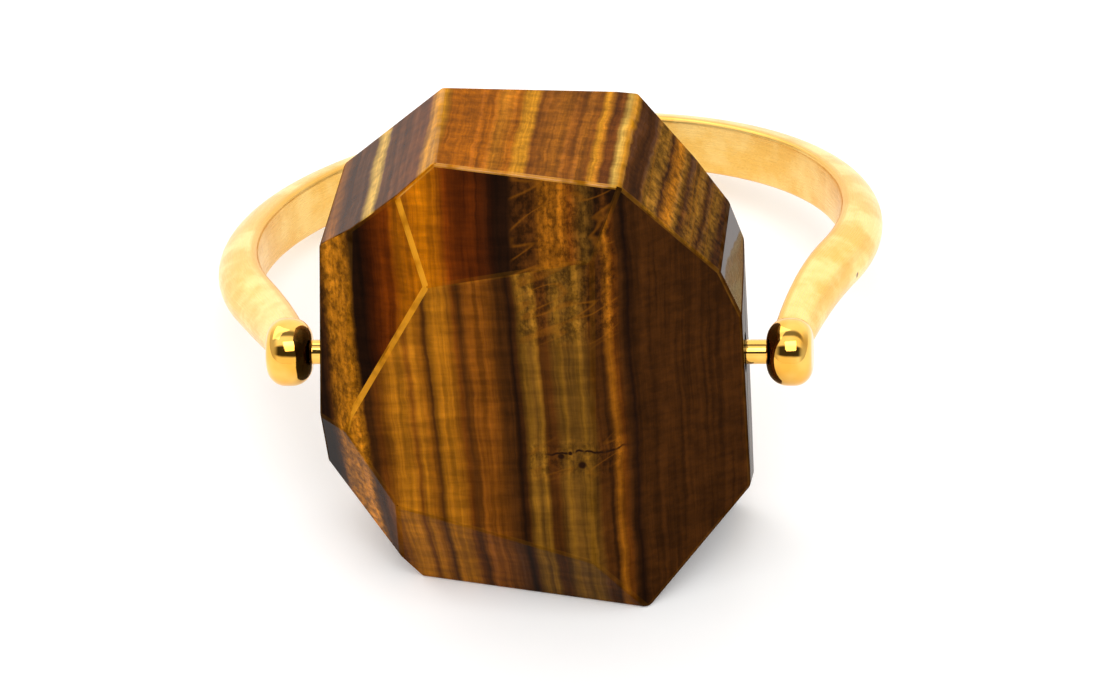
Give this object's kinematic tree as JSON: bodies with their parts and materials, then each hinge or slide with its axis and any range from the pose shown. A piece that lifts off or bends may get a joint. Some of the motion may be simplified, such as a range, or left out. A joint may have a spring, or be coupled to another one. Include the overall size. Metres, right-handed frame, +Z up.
{
  "type": "stackable swivel stone ring",
  "caption": "Slim open finger ring of half-round wire whose faceted, drilled stone swivels on two short pins between the band's ends.",
  "frame": {"origin": "on the stone's foot facet, straight below the middle of the two pins", "axes": "+Z up from the surface that the ring rests on, +X along the pins to the wearer's view of the stone's right side, +Y away from the stone's front through the finger hole to the back of the band"},
  "size_m": [0.0196, 0.021, 0.0146],
  "materials": {
    "gold": "satin gold plating, mirror-polished on the barrels and pins",
    "tiger_eye": "polished flat facets with straight golden brown bands"
  },
  "bodies": {
    "shank": {"shank": "gold"},
    "stone": {"stone": "tiger_eye"}
  },
  "joints": [
    {"name": "stone_swivel", "type": "hinge", "parent": "shank", "child": "stone", "pos_m": [0, 0, 0.00678], "axis": [0.9981, 0, 0.0611], "continuous": true}
  ]
}
